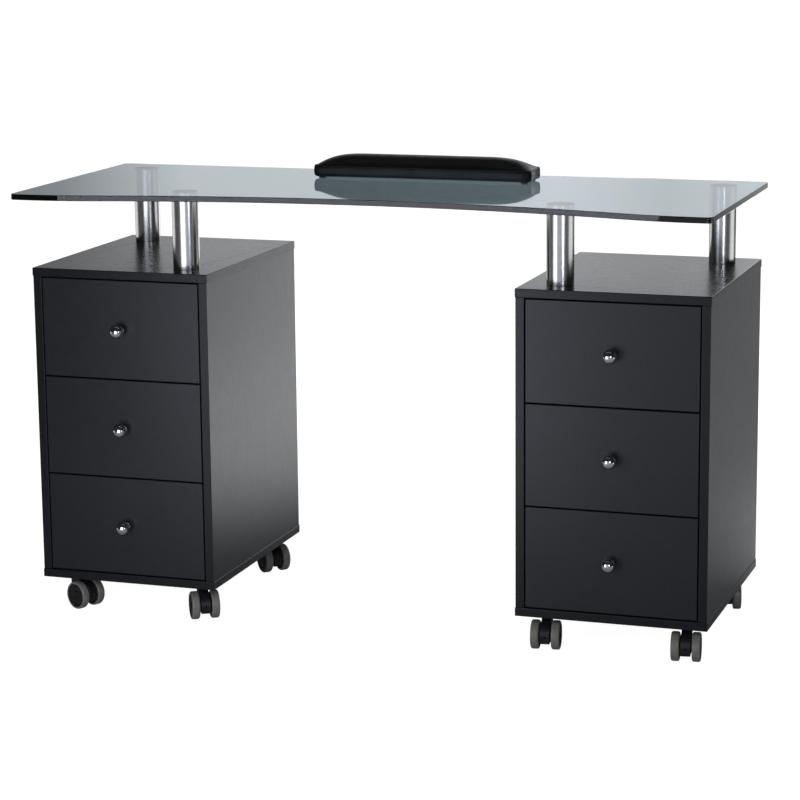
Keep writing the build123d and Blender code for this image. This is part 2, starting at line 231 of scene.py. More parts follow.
def moulded_plastic(name, dark, light, rough, grain=1400.0):
    """Injection-moulded plastic with a fine spark texture."""
    m = Nodes(name)
    m.surface(IOR=1.5)
    spark = m.noise(grain, 3.0)
    scuff = m.noise(70.0, 4.0)
    m.feed(m.blend(m.spread(scuff, 0.0, 1.0), dark, light), "Base Color")
    m.feed(m.spread(scuff, rough - 0.05, rough + 0.07), "Roughness")
    m.feed(m.bump(spark, 0.25, 0.00008), "Normal")
    return m.material


def leatherette():
    """Black vinyl with a pebbled grain and faint creases."""
    m = Nodes("black_leatherette")
    m.surface(IOR=1.45, Coat_Weight=0.05, Coat_Roughness=0.3)
    pebble = m.cells(650.0, "SMOOTH_F1")
    crease = m.noise(55.0, 5.0, 0.6)
    cloud = m.noise(12.0)
    m.feed(m.blend(m.spread(cloud, 0.0, 1.0), (0.0045, 0.0045, 0.005), (0.009, 0.009, 0.010)), "Base Color")
    m.feed(m.spread(crease, 0.38, 0.5), "Roughness")
    m.feed(m.bump(pebble, 0.35, 0.0003, m.bump(crease, 0.18, 0.0008)), "Normal")
    return m.material


def tinted_glass():
    """Smoked float glass, dyed through, which lets light from the lamps pass."""
    m = Nodes("smoked_glass")
    m.surface(Transmission_Weight=1.0, IOR=1.5)
    haze = m.noise(35.0, 5.0)
    m.feed(m.blend(haze, (0.97, 0.985, 0.985), (1.0, 1.0, 1.0)), "Base Color")
    m.feed(m.spread(haze, 0.0, 0.012), "Roughness")
    path = m.add("ShaderNodeLightPath")
    clear = m.add("ShaderNodeBsdfTransparent")
    clear.inputs["Color"].default_value = (0.90, 0.90, 0.90, 1)
    mix = m.add("ShaderNodeMixShader")
    m.join(path.outputs["Is Shadow Ray"], mix.inputs["Fac"])
    m.join(m.shader.outputs["BSDF"], mix.inputs[1])
    m.join(clear.outputs["BSDF"], mix.inputs[2])
    m.join(mix.outputs["Shader"], m.output.inputs["Surface"])
    dye = m.add("ShaderNodeVolumeAbsorption")
    dye.inputs["Color"].default_value = (0.135, 0.34, 0.40, 1)
    dye.inputs["Density"].default_value = 84.0
    m.join(dye.outputs["Volume"], m.output.inputs["Volume"])
    return m.material


MATERIALS = {
    "top_face": laminate(
        "black_melamine_top", (0.011, 0.0115, 0.014), (0.022, 0.023, 0.026), 0.26, "x", press=0.06
    ),
    "level_face": laminate("black_melamine", (0.008, 0.0085, 0.011), (0.016, 0.017, 0.020), 0.36, "x"),
    "upright_face": laminate(
        "black_melamine_upright", (0.010, 0.0105, 0.012), (0.019, 0.020, 0.022), 0.34, "z"
    ),
    "box": laminate("drawer_melamine", (0.014, 0.0145, 0.016), (0.026, 0.027, 0.029), 0.5, "x"),
    "band": edge_band(),
    "steel": brushed_steel(),
    "chrome": chrome(),
    "zinc": zinc(),
    "runner": runner_paint(),
    "hood": moulded_plastic("black_nylon", (0.008, 0.008, 0.010), (0.013, 0.013, 0.015), 0.38),
    "hub": moulded_plastic("black_wheel_disc", (0.007, 0.007, 0.008), (0.012, 0.012, 0.013), 0.42),
    "tread": moulded_plastic("grey_tread", (0.20, 0.190, 0.165), (0.26, 0.250, 0.220), 0.34, 2200.0),
    "base": moulded_plastic("cushion_board", (0.010, 0.010, 0.011), (0.016, 0.016, 0.017), 0.5),
    "leatherette": leatherette(),
    "glass": tinted_glass(),
}


# -------------------------------------------------------------- shared forms

WELD_GAP = 0.00001


def finish_piece(obj, body, material, replaced=()):
    """Gives a piece its material, slot and body."""
    obj.data.materials.clear()
    obj.data.materials.append(MATERIALS[material])
    if replaced:
        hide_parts(*replaced)
    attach(obj, body)


def new_piece(name, data):
    """An object in the scene around its data."""
    obj = bpy.data.objects.new(name, data)
    bpy.context.scene.collection.objects.link(obj)
    return obj


def mesh_from(name, bm, smooth=True):
    """Turns a bmesh into an object."""
    bmesh.ops.recalc_face_normals(bm, faces=bm.faces)
    mesh = bpy.data.meshes.new(name)
    bm.to_mesh(mesh)
    bm.free()
    mesh.polygons.foreach_set("use_smooth", [smooth] * len(mesh.polygons))
    return new_piece(name, mesh)


def apply_modifiers(obj):
    """Bakes an object's modifiers into its mesh."""
    graph = bpy.context.evaluated_depsgraph_get()
    mesh = bpy.data.meshes.new_from_object(obj.evaluated_get(graph))
    obj.modifiers.clear()
    obj.data = mesh


def even_shading(obj):
    """Keeps flat stretches flat beside rounded ones."""
    normals = obj.modifiers.new("shading", "WEIGHTED_NORMAL")
    normals.keep_sharp = True


def soften(obj, width, segments=3, angle=35):
    """Rounds sharp edges a little and evens the shading."""
    bevel = obj.modifiers.new("edges", "BEVEL")
    bevel.width = width
    bevel.segments = segments
    bevel.limit_method = "ANGLE"
    bevel.angle_limit = math.radians(angle)
    even_shading(obj)


def cad_finish(node, material, width):
    """A better material, welded corners and softened edges on a CAD node that stays."""
    obj = NODES[node]
    obj.data.materials.clear()
    obj.data.materials.append(MATERIALS[material])
    weld = obj.modifiers.new("weld", "WELD")
    weld.merge_threshold = WELD_GAP
    soften(obj, width)


def ring_of(bm, place, along, radius, steps):
    """A circle of vertices round the axis, or a single one on it."""
    if radius <= 0:
        return [bm.verts.new(place @ Vector((0, 0, along)))]
    ring = []
    for step in range(steps):
        a = 2 * math.pi * step / steps
        ring.append(bm.verts.new(place @ Vector((radius * math.cos(a), radius * math.sin(a), along))))
    return ring


def lathe(name, profile, origin, axis, steps):
    """Turns a profile of (distance along the axis, radius) pairs round an axis."""
    turn = UP.rotation_difference(Vector(axis).normalized()).to_matrix().to_4x4()
    place = Matrix.Translation(Vector(origin)) @ turn
    bm = bmesh.new()
    rings = [ring_of(bm, place, along, radius, steps) for along, radius in profile]
    for low, high in zip(rings, rings[1:]):
        for step in range(steps):
            corners = [
                low[step % len(low)],
                low[(step + 1) % len(low)],
                high[(step + 1) % len(high)],
                high[step % len(high)],
            ]
            corners = list(dict.fromkeys(corners))
            if len(corners) > 2:
                bm.faces.new(corners)
    return mesh_from(name, bm)


def join_rings(bm, low, high):
    """Faces between two rings with equally many vertices."""
    count = len(low)
    for i in range(count):
        j = (i + 1) % count
        bm.faces.new((low[i], low[j], high[j], high[i]))


def closed_form(name, bm, rings):
    """Joins rings from the lowest to the highest and closes both ends."""
    for low, high in zip(rings, rings[1:]):
        join_rings(bm, low, high)
    bm.faces.new(list(reversed(rings[0])))
    bm.faces.new(rings[-1])
    return mesh_from(name, bm)


def quarter_round(centre_along, centre_radius, size, steps):
    """Points of a profile on a quarter circle, from facing outward to facing along the axis."""
    points = []
    for step in range(steps + 1):
        a = math.radians(90 * step / steps)
        points.append((centre_along + size * math.sin(a), centre_radius + size * math.cos(a)))
    return points


# ------------------------------------------- cabinets, drawers and worktop

# How far the edges of each kind of CAD piece are rounded.
BOARD_EDGE = 0.0011
SIDE_EDGE = 0.00066
THIN_EDGE = 0.0004
BOX_EDGE = 0.0005
RUNNER_EDGE = 0.0002
PLATE_EDGE = 0.0003
FIXING_EDGE = 0.0005
GLASS_EDGE = 0.0007

# A knob, turned from its rose outward, and the head of the screw that holds it.
ROSE_RADIUS = 0.0075
ROSE_DEPTH = 0.002
ROSE_ROUND = 0.0008
ROSE_CHAMFER = 0.0003
NECK_RADIUS = 0.005
NECK_FILLET = 0.0006
BALL_STEP = 4  # degrees
BALL_CLOSES = 88  # degrees past the middle, where the ball's last ring lies
SCREW_RADIUS = 0.004
SCREW_DEPTH = 0.0024
SCREW_ROUND = 0.0012
SOCKET_RADIUS = 0.0012
SOCKET_CHAMFER = 0.0002


def banded_edges(node, across):
    """Gives a board's narrow faces the edge strip's material. across is the axis through its thickness."""
    mesh = NODES[node].data
    mesh.materials.append(MATERIALS["band"])
    for face in mesh.polygons:
        if abs(face.normal[across]) < 0.5:
            face.material_index = 1


def cabinet_boards():
    """Melamine faces and edge strips on both cabinets' boards."""
    for side in SIDES:
        for board, finish in (("top", "top_face"), ("bottom", "level_face")):
            node = side + "_cabinet_" + board
            cad_finish(node, finish, BOARD_EDGE)
            banded_edges(node, 2)
        for place in ("inner_side", "outer_side"):
            node = side + "_cabinet_" + place
            cad_finish(node, "upright_face", SIDE_EDGE)
            banded_edges(node, 0)
        cad_finish(side + "_cabinet_back", "upright_face", THIN_EDGE)


def drawers():
    """Drawer fronts, boxes, rails and knobs, and the channels and plates of their cabinets."""
    for side in SIDES:
        for number in (1, 2, 3):
            drawer = side + "_drawer_" + str(number)
            cad_finish(drawer + "_front", "level_face", THIN_EDGE)
            cad_finish(drawer + "_box", "box", BOX_EDGE)
            cad_finish(drawer + "_rails", "runner", RUNNER_EDGE)
            knob(drawer)
        cad_finish(side + "_runner_channels", "runner", RUNNER_EDGE)
        cad_finish(side + "_castor_plates", "zinc", PLATE_EDGE)


def knob_profile(ball, reach):
    """Rose, neck and ball, from the drawer's face outward. reach is the ball centre's distance from it."""
    profile = [(0.0, 0.0), (0.0, ROSE_RADIUS - ROSE_CHAMFER)]
    profile += [(ROSE_CHAMFER, ROSE_RADIUS), (ROSE_DEPTH - ROSE_ROUND, ROSE_RADIUS)]
    profile += quarter_round(ROSE_DEPTH - ROSE_ROUND, ROSE_RADIUS - ROSE_ROUND, ROSE_ROUND, 4)[1:]
    profile += [(ROSE_DEPTH, NECK_RADIUS + NECK_FILLET), (ROSE_DEPTH + NECK_FILLET, NECK_RADIUS)]
    start = 90 - math.degrees(math.asin(NECK_RADIUS / ball))
    for turned in range(0, int(start + BALL_CLOSES), BALL_STEP):
        a = math.radians(start - turned)
        profile.append((reach - ball * math.sin(a), ball * math.cos(a)))
    return profile + [(reach + ball, 0.0)]


def screw_profile():
    """A rounded head with a socket."""
    shoulder = SCREW_DEPTH - SCREW_ROUND
    profile = [(0.0, 0.0), (0.0, SCREW_RADIUS)]
    profile += quarter_round(shoulder, SCREW_RADIUS - SCREW_ROUND, SCREW_ROUND, 5)
    profile.append((SCREW_DEPTH, SOCKET_RADIUS + SOCKET_CHAMFER))
    return profile + [(shoulder, SOCKET_RADIUS), (shoulder, 0.0)]


def knob(drawer):
    """A polished ball knob on the drawer's face and its screw head inside the drawer."""
    low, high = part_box(drawer + "_knob")
    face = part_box(drawer + "_front")[0].y
    x, z = (low.x + high.x) / 2, (low.z + high.z) / 2
    ball = (high.z - low.z) / 2
    profile = knob_profile(ball, face - low.y - ball)
    turned = lathe(drawer + "_ball_knob", profile, (x, face, z), (0, -1, 0), 48)
    finish_piece(turned, drawer, "chrome", [drawer + "_knob"])
    screw = lathe(drawer + "_knob_screw", screw_profile(), (x, high.y - SCREW_DEPTH, z), (0, 1, 0), 24)
    finish_piece(screw, drawer, "zinc")


# -------------------------------------------------------------------- posts

POST_RADIUS = 0.0235
POST_WALL = 0.0015
POST_RIM = 0.0004
POST_END = 0.02


def post_profile(height):
    """A tube's outline, outside and then inside, with its rims rounded off."""
    radius, bore = POST_RADIUS, POST_RADIUS - POST_WALL
    profile = [(0.0, bore), (0.0, radius - POST_RIM), (POST_RIM, radius), (POST_END, radius)]
    profile += [(height / 2, radius), (height - POST_END, radius), (height - POST_RIM, radius)]
    return profile + [(height, radius - POST_RIM), (height, bore), (height / 2, bore), (0.0, bore)]


def posts():
    """Brushed tubes and what fixes them. Each side's two stand inner front and outer back."""
    for side in SIDES:
        node = side + "_posts"
        low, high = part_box(node)
        near_x, far_x = low.x + POST_RADIUS, high.x - POST_RADIUS
        inner_x, outer_x = (far_x, near_x) if side == "left" else (near_x, far_x)
        places = {"front": (inner_x, low.y + POST_RADIUS), "back": (outer_x, high.y - POST_RADIUS)}
        profile = post_profile(high.z - low.z)
        for end, (x, y) in places.items():
            obj = lathe(side + "_" + end + "_post", profile, (x, y, low.z), (0, 0, 1), 96)
            even_shading(obj)
            finish_piece(obj, "root", "steel", [node] if end == "front" else [])
    cad_finish("post_fixings", "zinc", FIXING_EDGE)


# ------------------------------------------------------------------ castors

# A wheel's rubber tread.
WHEEL_RADIUS = 0.025
WHEEL_WIDTH = 0.0145
WHEEL_SPACING = 0.0352
WHEEL_SHOULDER = 0.0034
WHEEL_RIM = 0.0212
TREAD_CHAMFER = 0.0004

# The disc inside it, with a raised lip, a dish, and a hub with a dimple, and the axle.
DISC_GAP = 0.0002
DISC_INSET = 0.0006
DISC_CHAMFER = 0.0006
DISC_BORE = 0.0035
LIP_WIDTH = 0.001
DISH_DEPTH = 0.0008
DISH_SLOPE = 0.0008
DISH_RISE = 0.0002
HUB_RADIUS = 0.0062
DIMPLE_RADIUS = 0.0046
DIMPLE_DEPTH = 0.0006
DIMPLE_SLOPE = 0.001
AXLE_RADIUS = 0.003
AXLE_INSET = 0.002

# The hood between the wheels, its pin, and the hole in its back.
HOOD_WIDTH = 0.017
HOOD_LOW = 0.013
HOOD_TOP = 0.0535
HOOD_RADIUS = 0.023
HOOD_CORNER = 0.002
HOOD_EDGE = 0.0012
COLUMN_RADIUS = 0.011
ARC_START = 100  # degrees above level
ARC_STEP = 11  # degrees
ARC_POINTS = 13
ARC_CLEARANCE = 0.0005
PIN_RADIUS = 0.005
PIN_SUNK = 0.001
PIN_CHAMFER = 0.0006
HOLE_RADIUS = 0.0021
HOLE_DEPTH = 0.006
HOLE_START = -0.002


def tread_profile():
    """The rubber's outline, from a wheel's inner face to its outer face, with round shoulders."""
    width, radius, shoulder = WHEEL_WIDTH, WHEEL_RADIUS, WHEEL_SHOULDER
    profile = [(0.0, WHEEL_RIM), (0.0, radius - shoulder)]
    for turned in range(15, 91, 15):
        a = math.radians(turned)
        profile.append((shoulder - shoulder * math.cos(a), radius - shoulder + shoulder * math.sin(a)))
    profile.append((width * 0.5, radius))
    profile += quarter_round(width - shoulder, radius - shoulder, shoulder, 6)
    profile += [(width, WHEEL_RIM + TREAD_CHAMFER), (width - TREAD_CHAMFER, WHEEL_RIM)]
    return profile + [(width * 0.5, WHEEL_RIM), (0.0, WHEEL_RIM)]


def disc_profile():
    """The wheel's disc: a raised lip, a dish, and a hub with a dimple in the middle."""
    edge = WHEEL_RIM - DISC_GAP
    lip = WHEEL_WIDTH - DISC_INSET
    lip_end = edge - DISC_CHAMFER - LIP_WIDTH
    dish = lip - DISH_DEPTH
    hub = WHEEL_WIDTH - DISC_GAP
    profile = [(DISC_INSET, DISC_BORE), (DISC_INSET, edge), (lip - DISC_CHAMFER, edge)]
    profile += [(lip, edge - DISC_CHAMFER), (lip, lip_end), (dish, lip_end - DISH_SLOPE)]
    profile += [(dish + DISH_RISE, HUB_RADIUS + DISH_SLOPE), (hub, HUB_RADIUS), (hub, DIMPLE_RADIUS)]
    return profile + [(hub - DIMPLE_DEPTH, DIMPLE_RADIUS - DIMPLE_SLOPE), (hub - DIMPLE_DEPTH, 0.0)]


def castor(name):
    """Two wheels with grey treads and black discs, their axle, and the hood between them."""
    roll = JOINTS[name + "_roll"]
    axle = Vector(roll["axis"]).normalized()
    centre = Vector(roll["pos_m"])
    wheels = name + "_wheels"
    for sign, label in ((-1, "a"), (1, "b")):
        inner = centre + axle * sign * (WHEEL_SPACING - WHEEL_WIDTH) / 2
        tread = lathe(name + "_tread_" + label, tread_profile(), inner, axle * sign, 72)
        replaced = [name + "_castor_wheels"] if sign < 0 else []
        finish_piece(tread, wheels, "tread", replaced)
        disc = lathe(name + "_disc_" + label, disc_profile(), inner, axle * sign, 56)
        finish_piece(disc, wheels, "hub")
    reach = WHEEL_SPACING / 2 + WHEEL_WIDTH / 2 - AXLE_INSET
    rod = [(-reach, 0.0), (-reach, AXLE_RADIUS), (reach, AXLE_RADIUS), (reach, 0.0)]
    finish_piece(lathe(name + "_axle", rod, centre, axle, 24), wheels, "zinc")
    castor_hood(name, centre, axle)


def hood_outline(length, height):
    """The hood's side view as (distance behind the swivel axis, height above the floor) pairs."""
    outline = [(-COLUMN_RADIUS, HOOD_LOW + HOOD_CORNER), (-COLUMN_RADIUS, HOOD_TOP - HOOD_CORNER)]
    outline += [(HOOD_CORNER - COLUMN_RADIUS, HOOD_TOP), (COLUMN_RADIUS, HOOD_TOP)]
    for step in range(ARC_POINTS):
        a = math.radians(ARC_START - step * ARC_STEP)
        along, up = length + HOOD_RADIUS * math.cos(a), height + HOOD_RADIUS * math.sin(a)
        if up > HOOD_LOW + ARC_CLEARANCE:
            outline.append((along, up))
    reach = math.sqrt(HOOD_RADIUS**2 - (height - HOOD_LOW) ** 2)
    return outline + [(length + reach, HOOD_LOW), (HOOD_CORNER - COLUMN_RADIUS, HOOD_LOW)]


def castor_hood(name, centre, axle):
    """The swivelling body: a rounded web between the wheels with a drilled hole, and its pin."""
    node = name + "_castor_hood"
    swivel = JOINTS[name + "_swivel"]["pos_m"]
    base = Vector((swivel[0], swivel[1], 0))
    trail = Vector((centre.x, centre.y, 0)) - base
    back = trail.normalized()
    outline = hood_outline(trail.length, centre.z)
    bm = bmesh.new()
    near, far = (
        [bm.verts.new(base + back * u + UP * z + axle * sign * HOOD_WIDTH / 2) for u, z in outline]
        for sign in (-1, 1)
    )
    obj = closed_form(name + "_hood", bm, [far, near])
    soften(obj, HOOD_EDGE, 3, 40)
    apply_modifiers(obj)
    drill(obj, base + back * (trail.length + HOOD_RADIUS) + UP * centre.z, -back)
    finish_piece(obj, BODY_OF[node], "hood", [node])
    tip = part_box(node)[1].z
    pin = [(HOOD_TOP - PIN_SUNK, 0.0), (HOOD_TOP - PIN_SUNK, PIN_RADIUS)]
    pin += [(tip - PIN_CHAMFER, PIN_RADIUS), (tip, PIN_RADIUS - PIN_CHAMFER), (tip, 0.0)]
    finish_piece(lathe(name + "_pin", pin, base, (0, 0, 1), 24), BODY_OF[node], "zinc")


def drill(obj, place, inward):
    """Cuts a small blind hole with a boolean."""
    hole = [(HOLE_START, 0.0), (HOLE_START, HOLE_RADIUS), (HOLE_DEPTH, HOLE_RADIUS), (HOLE_DEPTH, 0.0)]
    tool = lathe("drill", hole, place, inward, 20)
    cut = obj.modifiers.new("hole", "BOOLEAN")
    cut.object = tool
    cut.solver = "EXACT"
    apply_modifiers(obj)
    bpy.data.objects.remove(tool)
    even_shading(obj)


def castors():
    """One castor for each rolling joint."""
    for joint in JOINTS:
        if joint.endswith("_roll"):
            castor(joint.removesuffix("_roll"))


# ------------------------------------------------------------------ cushion

# The cover's form before the cloth runs.
COVER_INSET = 0.0015
COVER_OVERLAP = 0.0058
SEAM_ABOVE_PAD = 0.013
CROWN_SUNK = 0.003
CORNER = 0.010
WAIST = 0.0014
OUTLINE_PITCH = 0.004
UNDERSIDE_SHARES = (0.3, 0.9, 1)
BAND_ROWS = 5
CROWN_ROWS = 30
CROWN_ROW_POWER = 1.2
CROWN_RUN_X = 0.100
CROWN_RUN_Y = 0.038
CROWN_POWER_X = 3.4
CROWN_POWER_Y = 2.3

# Its even mesh and the cloth run.
VOXEL = 0.004
HELD_ABOVE_SEAM = 0.0005
PRESSURE = 4.0
STIFFNESS = 25.0
SWELL_FRAMES = 20
SWELL_LIMIT = 0.005

# Rolled seams, and the level lines that find the cover's surface for them.
PIPING = 0.0014
HEM_ROLL = PIPING * 0.7
CORNER_ROLL = PIPING * 0.6
HEM_ABOVE_BOTTOM = 0.0022
CORNER_SEAM_LOW = 0.003
CORNER_SEAM_HIGH = 0.001
CORNER_SEAM_STEPS = 6
SPINE_HALF = 0.17
CAST_REACH = 0.05

# The board and feet below.
BOARD_INSET = 0.003
BOARD_THICKNESS = 0.005
BOARD_ROUND = 0.0006
CUSHION_BOARD_LOW = 0.006
FOOT_RADIUS = 0.007
FOOT_ROUND = 0.0008
FOOT_SETBACK = 0.013


def rounded_outline(half_x, half_y, corner, pitch):
    """Evenly spaced points round a rounded rectangle with slightly waisted sides."""
    arc_steps = max(3, round(math.pi * corner / 2 / pitch))
    straight_x, straight_y = half_x - corner, half_y - corner
    points = []
    for quarter in range(4):
        sx = 1 if quarter in (0, 3) else -1
        sy = 1 if quarter in (0, 1) else -1
        for step in range(arc_steps + 1):
            a = math.radians(90 * (quarter + step / arc_steps))
            points.append((sx * straight_x + corner * math.cos(a), sy * straight_y + corner * math.sin(a)))
        along_x = quarter in (0, 2)
        length = 2 * (straight_x if along_x else straight_y)
        steps = round(length / pitch)
        x0, y0 = points[-1]
        for step in range(1, steps):
            t = step / steps
            pull = WAIST * math.sin(math.pi * t)
            if along_x:
                points.append((x0 - sx * length * t, y0 - sy * pull))
            else:
                points.append((x0 - sx * pull, y0 - sy * length * t))
    return points


class CushionShape:
    """Where the cover's outline, bottom, seam and crown lie, worked out from the CAD's pad and board."""

    def __init__(self):
        pad_low, pad_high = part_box("cushion_pad")
        self.middle = (pad_low + pad_high) / 2
        self.half_x = (pad_high.x - pad_low.x) / 2 - COVER_INSET
        self.half_y = (pad_high.y - pad_low.y) / 2 - COVER_INSET
        self.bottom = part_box("cushion_base")[1].z - COVER_OVERLAP
        self.seam = pad_low.z + SEAM_ABOVE_PAD
        self.top = pad_high.z - CROWN_SUNK
        self.outline = rounded_outline(self.half_x, self.half_y, CORNER, OUTLINE_PITCH)

    def crown(self, x, y):
        """The top panel's height at a point: at the seam round the edge, at the top in the middle."""
        run_x = min(max(self.half_x - abs(x), 0) / CROWN_RUN_X, 1)
        run_y = min(max(self.half_y - abs(y), 0) / CROWN_RUN_Y, 1)
        share = (1 - (1 - run_x) ** CROWN_POWER_X) * (1 - (1 - run_y) ** CROWN_POWER_Y)
        return self.seam + (self.top - self.seam) * share

    def level_ring(self, bm, z, share_x=1.0, share_y=1.0):
        """Vertices round the outline at one height, drawn in by shares."""
        mx, my = self.middle.x, self.middle.y
        return [bm.verts.new((mx + x * share_x, my + y * share_y, z)) for x, y in self.outline]

    def crown_ring(self, bm, share):
        """Vertices on the top panel, round the outline drawn in by a share."""
        points = [(x * share, y * share) for x, y in self.outline]
        mx, my = self.middle.x, self.middle.y
        return [bm.verts.new((mx + x, my + y, self.crown(x, y))) for x, y in points]


def cushion_cover(shape):
    """The cover's starting form: a crowned top panel over an upright band, closed underneath."""
    bm = bmesh.new()
    rings = [shape.level_ring(bm, shape.bottom, share, share) for share in UNDERSIDE_SHARES]
    for step in range(1, BAND_ROWS + 1):
        rings.append(shape.level_ring(bm, shape.bottom + (shape.seam - shape.bottom) * step / BAND_ROWS))
    for step in range(1, CROWN_ROWS):
        rings.append(shape.crown_ring(bm, 1 - (step / CROWN_ROWS) ** CROWN_ROW_POWER))
    return closed_form("cushion_cover", bm, rings)


def even_mesh(obj):
    """Rebuilds a closed form from small even faces."""
    remesh = obj.modifiers.new("voxels", "REMESH")
    remesh.mode = "VOXEL"
    remesh.voxel_size = VOXEL
    apply_modifiers(obj)


def swell(obj, held):
    """Runs cloth under inner pressure. The vertex group named by held stays where it is."""
    cloth = obj.modifiers.new("cloth", "CLOTH")
    settings = cloth.settings
    settings.vertex_group_mass = held
    settings.use_pressure = True
    settings.uniform_pressure_force = PRESSURE
    settings.tension_stiffness = STIFFNESS
    settings.compression_stiffness = STIFFNESS
    settings.effector_weights.gravity = 0.0
    for step in range(1, SWELL_FRAMES + 1):
        bpy.context.scene.frame_set(step)
    apply_modifiers(obj)
    bpy.context.scene.frame_set(1)


def puff(obj, seam):
    """Swells the top panel like foam under cloth, within a limit. The band below the seam is held."""
    start = [vert.co.copy() for vert in obj.data.vertices]
    band = obj.vertex_groups.new(name="band")
    for vert in obj.data.vertices:
        if vert.co.z < seam + HELD_ABOVE_SEAM:
            band.add([vert.index], 1.0, "REPLACE")
    swell(obj, "band")
    for vert, place in zip(obj.data.vertices, start):
        move = vert.co - place
        if move.length > SWELL_LIMIT:
            vert.co = place + move * (SWELL_LIMIT / move.length)
    relax = obj.modifiers.new("relax", "SMOOTH")
    relax.factor = 0.5
    relax.iterations = 3
    apply_modifiers(obj)


def seam_tube(name, points, radius, closed):
    """A thin roll of cover material along points on the cover's surface."""
    data = bpy.data.curves.new(name, "CURVE")
    data.dimensions = "3D"
    data.bevel_depth = radius
    data.bevel_resolution = 3
    spline = data.splines.new("NURBS")
    spline.points.add(len(points) - 1)
    for point, place in zip(spline.points, points):
        point.co = (*place, 1)
    spline.use_cyclic_u = closed
    spline.order_u = 3
    spline.use_endpoint_u = not closed
    spline.resolution_u = 3
    curve = new_piece(name + "_curve", data)
    graph = bpy.context.evaluated_depsgraph_get()
    mesh = bpy.data.meshes.new_from_object(curve.evaluated_get(graph))
    bpy.data.objects.remove(curve)
    mesh.polygons.foreach_set("use_smooth", [True] * len(mesh.polygons))
    return new_piece(name, mesh)


def on_cover(cover, middle, x, y, z):
    """Where a level line from outside, towards the cushion's middle line, meets the cover."""
    spine = max(min(x, SPINE_HALF), -SPINE_HALF)
    inward = Vector((spine - x, -y, 0)).normalized()
    outside = Vector((middle.x + x, middle.y + y, z)) - inward * CAST_REACH
    hit, place = cover.ray_cast(outside, inward)[:2]
    return place if hit else outside + inward * CAST_REACH


def loop_seam(name, cover, shape, z, radius):
    """A seam right round the cover at one height."""
    points = [on_cover(cover, shape.middle, x, y, z) for x, y in shape.outline]
    return seam_tube(name, points, radius, True)


def corner_seams(cover, shape):
    """A short seam up each of the band's four corners."""
    turn = CORNER * (1 - math.sqrt(0.5))
    low, high = shape.bottom + CORNER_SEAM_LOW, shape.seam - CORNER_SEAM_HIGH
    heights = [low + (high - low) * step / CORNER_SEAM_STEPS for step in range(CORNER_SEAM_STEPS + 1)]
    seams = []
    for side, sx in (("left", -1), ("right", 1)):
        for end, sy in (("front", -1), ("back", 1)):
            x, y = sx * (shape.half_x - turn), sy * (shape.half_y - turn)
            points = [on_cover(cover, shape.middle, x, y, z) for z in heights]
            seams.append(seam_tube("cushion_corner_" + side + "_" + end, points, CORNER_ROLL, False))
    return seams


def cushion_board(shape):
    """The board under the foam, set back from the cover, with softened edges."""
    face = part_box("cushion_base")[1].z - CUSHION_BOARD_LOW
    shares = (1 - BOARD_INSET / shape.half_x, 1 - BOARD_INSET / shape.half_y)
    bm = bmesh.new()
    rings = [shape.level_ring(bm, z, *shares) for z in (face, face + BOARD_THICKNESS)]
    obj = closed_form("cushion_board", bm, rings)
    soften(obj, BOARD_ROUND, 2, 40)
    return obj


def cushion_feet():
    """Four low round feet that stand on the glass, with rounded rims."""
    low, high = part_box("cushion_base")
    height = high.z - CUSHION_BOARD_LOW - low.z
    profile = [(0.0, 0.0), (0.0, FOOT_RADIUS - FOOT_ROUND), (FOOT_ROUND, FOOT_RADIUS)]
    profile += [(height, FOOT_RADIUS - FOOT_ROUND / 2), (height, 0.0)]
    feet = []
    for side, x in (("left", low.x + FOOT_SETBACK), ("right", high.x - FOOT_SETBACK)):
        for end, y in (("front", low.y + FOOT_SETBACK), ("back", high.y - FOOT_SETBACK)):
            feet.append(lathe("cushion_foot_" + side + "_" + end, profile, (x, y, low.z), (0, 0, 1), 32))
    return feet


def cushion():
    """The arm rest: a leatherette cover over foam, rolled seams, and the board and feet below."""
    shape = CushionShape()
    cover = cushion_cover(shape)
    even_mesh(cover)
    puff(cover, shape.seam)
    subdivide = cover.modifiers.new("smooth", "SUBSURF")
    subdivide.levels = subdivide.render_levels = 1
    apply_modifiers(cover)
    bpy.context.view_layer.update()
    seams = [loop_seam("cushion_piping", cover, shape, shape.seam, PIPING)]
    seams.append(loop_seam("cushion_hem", cover, shape, shape.bottom + HEM_ABOVE_BOTTOM, HEM_ROLL))
    seams += corner_seams(cover, shape)
    finish_piece(cover, "arm_cushion", "leatherette", ["cushion_pad"])
    for seam in seams:
        finish_piece(seam, "arm_cushion", "leatherette")
    finish_piece(cushion_board(shape), "arm_cushion", "base", ["cushion_base"])
    for foot in cushion_feet():
        finish_piece(foot, "arm_cushion", "base")


# ---------------------------------------------------------- light and camera

CAMERA_PLACE = (1.4394, -4.2436, 1.3077)
CAMERA_AZIMUTH = 18.6
CAMERA_PITCH = 11.67
CAMERA_ROLL = -0.566
LENS = 116.76
SENSOR = 36.0


def camera():
    """A long lens, turned towards the table from its right front."""
    data = bpy.data.cameras.new("camera")
    data.lens = LENS
    data.sensor_width = SENSOR
    obj = new_piece("camera", data)
    azimuth, pitch = math.radians(CAMERA_AZIMUTH), math.radians(CAMERA_PITCH)
    back = Vector((
        math.sin(azimuth) * math.cos(pitch),
        -math.cos(azimuth) * math.cos(pitch),
        math.sin(pitch),
    ))
    right = Vector((math.cos(azimuth), math.sin(azimuth), 0))
    above = back.cross(right)
    turn = Matrix((right, above, back)).transposed()
    roll = Matrix.Rotation(math.radians(CAMERA_ROLL), 3, "Z")
    obj.matrix_world = Matrix.Translation(CAMERA_PLACE) @ (turn @ roll).to_4x4()
    bpy.context.scene.camera = obj


